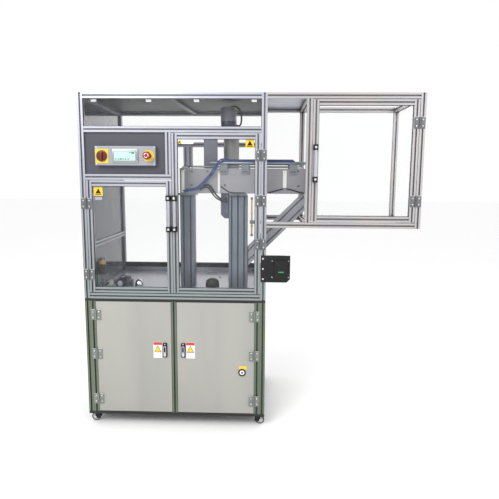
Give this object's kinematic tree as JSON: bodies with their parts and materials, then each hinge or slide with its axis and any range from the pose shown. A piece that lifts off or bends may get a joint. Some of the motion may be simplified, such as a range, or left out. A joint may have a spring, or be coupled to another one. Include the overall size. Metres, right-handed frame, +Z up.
{
  "type": "scara robot cell",
  "caption": "Enclosed assembly cell on castors: T-slot frame with glazed doors, sheet cabinet, operator panel, belt conveyor into a side bay, and a small SCARA arm inside.",
  "frame": {"origin": "middle of the footprint at floor level, under the castors", "axes": "+Z up; the front with the doors and the operator panel faces -Y; the side bay is towards +X"},
  "size_m": [1.815, 0.81, 1.836],
  "materials": {
    "frame_aluminium": "anodised satin",
    "cabinet_aluminium": "anodised satin",
    "cabinet_sheet": "powder coat",
    "black_board": "matt black",
    "clear_pane": "clear polycarbonate",
    "deck_metal": "brushed",
    "ceiling_metal": "satin grey",
    "control_paint": "satin blue grey",
    "box_aluminium": "satin",
    "legend_yellow": "satin yellow",
    "panel_plastic": "satin grey",
    "switch_red": "gloss red",
    "estop_red": "gloss red",
    "hinge_metal": "satin die cast",
    "handle_plastic": "black satin",
    "latch_plastic": "black satin",
    "conveyor_aluminium": "satin",
    "belt_rubber": "matt dark green",
    "roller_steel": "turned",
    "motor_paint": "satin grey",
    "guide_metal": "anodised light blue grey",
    "cable_blue": "satin blue sheath",
    "cable_black": "matt black sheath",
    "robot_casting": "fine textured paint",
    "robot_dark": "navy black paint",
    "robot_cover": "light grey moulding",
    "shaft_steel": "ground",
    "regulator_paint": "satin grey",
    "knob_black": "black satin",
    "bracket_black": "black powder coat",
    "castor_metal": "black",
    "castor_wheel": "grey rubber"
  },
  "bodies": {
    "root": {"base_posts": "cabinet_aluminium", "base_rails": "cabinet_aluminium", "base_panels": "cabinet_sheet", "black_boards": "black_board", "upper_posts": "frame_aluminium", "upper_rails": "frame_aluminium", "mid_rails": "frame_aluminium", "bay_frame": "frame_aluminium", "deck_plate": "deck_metal", "ceiling_plates": "ceiling_metal", "fixed_panes": "clear_pane", "control_plate": "control_paint", "operator_box": "box_aluminium", "legend_plates": "legend_yellow", "touch_panel": "panel_plastic", "hinge_leaves": "hinge_metal", "conveyor_sides": "conveyor_aluminium", "conveyor_belt": "belt_rubber", "conveyor_motor": "motor_paint", "conveyor_guides": "guide_metal", "conveyor_supports": "conveyor_aluminium", "cable_loom": "cable_blue", "upright_plate": "conveyor_aluminium", "robot_pedestal": "conveyor_aluminium", "robot_base": "robot_casting", "small_fittings": "regulator_paint", "display_bracket": "bracket_black"},
    "left_door": {"left_door_frame": "frame_aluminium", "left_door_pane": "clear_pane", "left_door_fittings": "handle_plastic"},
    "right_door": {"right_door_frame": "frame_aluminium", "right_door_pane": "clear_pane", "right_door_fittings": "handle_plastic"},
    "bay_door": {"bay_door_frame": "frame_aluminium", "bay_door_pane": "clear_pane", "bay_door_fittings": "handle_plastic"},
    "cabinet_left": {"cabinet_door_left": "cabinet_sheet"},
    "cabinet_right": {"cabinet_door_right": "cabinet_sheet"},
    "latch_left": {"latch_lever_left": "latch_plastic"},
    "latch_right": {"latch_lever_right": "latch_plastic"},
    "main_switch": {"main_switch_knob": "switch_red"},
    "estop": {"estop_button": "estop_red"},
    "inner_arm": {"inner_arm_casting": "robot_casting"},
    "outer_arm": {"outer_arm_casting": "robot_dark", "outer_arm_cover": "robot_cover", "arm_cable": "cable_black"},
    "quill_carriage": {"quill_holder": "roller_steel"},
    "quill": {"quill_shaft": "shaft_steel"},
    "drive_roller": {"conveyor_drive_roller": "roller_steel"},
    "idler_roller": {"conveyor_idler_roller": "roller_steel"},
    "regulator_dial": {"regulator_knob": "knob_black"},
    "clamp_knob": {"deck_knob": "knob_black"},
    "fork_fl": {"castor_fork_fl": "castor_metal"},
    "wheel_fl": {"castor_wheel_fl": "castor_wheel"},
    "fork_fr": {"castor_fork_fr": "castor_metal"},
    "wheel_fr": {"castor_wheel_fr": "castor_wheel"},
    "fork_rl": {"castor_fork_rl": "castor_metal"},
    "wheel_rl": {"castor_wheel_rl": "castor_wheel"},
    "fork_rr": {"castor_fork_rr": "castor_metal"},
    "wheel_rr": {"castor_wheel_rr": "castor_wheel"}
  },
  "joints": [
    {"name": "shoulder", "type": "hinge", "parent": "root", "child": "inner_arm", "pos_m": [-0.1275, 0.11, 1.65], "axis": [0, 0, 1], "range_deg": [-125, 35]},
    {"name": "elbow", "type": "hinge", "parent": "inner_arm", "child": "outer_arm", "pos_m": [-0.1275, -0.015, 1.685], "axis": [0, 0, 1], "range_deg": [-120, 120]},
    {"name": "quill_lift", "type": "slide", "parent": "outer_arm", "child": "quill_carriage", "axis": [0, 0, 1], "range_m": [-0.075, 0]},
    {"name": "quill_turn", "type": "hinge", "parent": "quill_carriage", "child": "quill", "pos_m": [-0.1275, -0.115, 1.7], "axis": [0, 0, 1], "range_deg": [-180, 180]},
    {"name": "left_door_hinge", "type": "hinge", "parent": "root", "child": "left_door", "pos_m": [-0.8765, -0.34, 1], "axis": [0, 0, 1], "range_deg": [-110, 0]},
    {"name": "right_door_hinge", "type": "hinge", "parent": "root", "child": "right_door", "pos_m": [0.0615, -0.34, 1], "axis": [0, 0, 1], "range_deg": [0, 110]},
    {"name": "bay_door_hinge", "type": "hinge", "parent": "root", "child": "bay_door", "pos_m": [0.8765, -0.34, 1.5], "axis": [0, 0, 1], "range_deg": [0, 110]},
    {"name": "cabinet_left_hinge", "type": "hinge", "parent": "root", "child": "cabinet_left", "pos_m": [-0.8475, -0.34, 0.4], "axis": [0, 0, 1], "range_deg": [-110, 0]},
    {"name": "cabinet_right_hinge", "type": "hinge", "parent": "root", "child": "cabinet_right", "pos_m": [0.0325, -0.34, 0.4], "axis": [0, 0, 1], "range_deg": [0, 110]},
    {"name": "latch_left_turn", "type": "hinge", "parent": "cabinet_left", "child": "latch_left", "pos_m": [-0.4645, -0.343, 0.445], "axis": [0, 1, 0], "range_deg": [0, 90]},
    {"name": "latch_right_turn", "type": "hinge", "parent": "cabinet_right", "child": "latch_right", "pos_m": [-0.3625, -0.343, 0.445], "axis": [0, 1, 0], "range_deg": [-90, 0]},
    {"name": "main_switch_turn", "type": "hinge", "parent": "root", "child": "main_switch", "pos_m": [-0.7765, -0.365, 1.508], "axis": [0, 1, 0], "range_deg": [0, 90]},
    {"name": "estop_push", "type": "slide", "parent": "root", "child": "estop", "axis": [0, 1, 0], "range_m": [0, 0.005]},
    {"name": "drive_roller_spin", "type": "hinge", "parent": "root", "child": "drive_roller", "pos_m": [-0.3655, -0.115, 1.441], "axis": [0, 1, 0], "continuous": true},
    {"name": "idler_roller_spin", "type": "hinge", "parent": "root", "child": "idler_roller", "pos_m": [0.2775, -0.115, 1.441], "axis": [0, 1, 0], "continuous": true},
    {"name": "regulator_turn", "type": "hinge", "parent": "root", "child": "regulator_dial", "pos_m": [-0.7455, -0.198, 0.792], "axis": [0, 1, 0], "range_deg": [-150, 150]},
    {"name": "clamp_knob_turn", "type": "hinge", "parent": "root", "child": "clamp_knob", "pos_m": [-0.2095, -0.23, 0.79], "axis": [0, 0, 1], "continuous": true},
    {"name": "swivel_fl", "type": "hinge", "parent": "root", "child": "fork_fl", "pos_m": [-0.8625, -0.29, 0.04], "axis": [0, 0, 1], "continuous": true},
    {"name": "wheel_spin_fl", "type": "hinge", "parent": "fork_fl", "child": "wheel_fl", "pos_m": [-0.8825, -0.29, 0.025], "axis": [0, 1, 0], "continuous": true},
    {"name": "swivel_fr", "type": "hinge", "parent": "root", "child": "fork_fr", "pos_m": [0.0475, -0.29, 0.04], "axis": [0, 0, 1], "continuous": true},
    {"name": "wheel_spin_fr", "type": "hinge", "parent": "fork_fr", "child": "wheel_fr", "pos_m": [0.0675, -0.29, 0.025], "axis": [0, 1, 0], "continuous": true},
    {"name": "swivel_rl", "type": "hinge", "parent": "root", "child": "fork_rl", "pos_m": [-0.8625, 0.36, 0.04], "axis": [0, 0, 1], "continuous": true},
    {"name": "wheel_spin_rl", "type": "hinge", "parent": "fork_rl", "child": "wheel_rl", "pos_m": [-0.8825, 0.36, 0.025], "axis": [0, 1, 0], "continuous": true},
    {"name": "swivel_rr", "type": "hinge", "parent": "root", "child": "fork_rr", "pos_m": [0.0475, 0.36, 0.04], "axis": [0, 0, 1], "continuous": true},
    {"name": "wheel_spin_rr", "type": "hinge", "parent": "fork_rr", "child": "wheel_rr", "pos_m": [0.0675, 0.36, 0.025], "axis": [0, 1, 0], "continuous": true}
  ],
  "couplings": [
    {"joint": "idler_roller_spin", "follows": "drive_roller_spin", "ratio": 1}
  ]
}
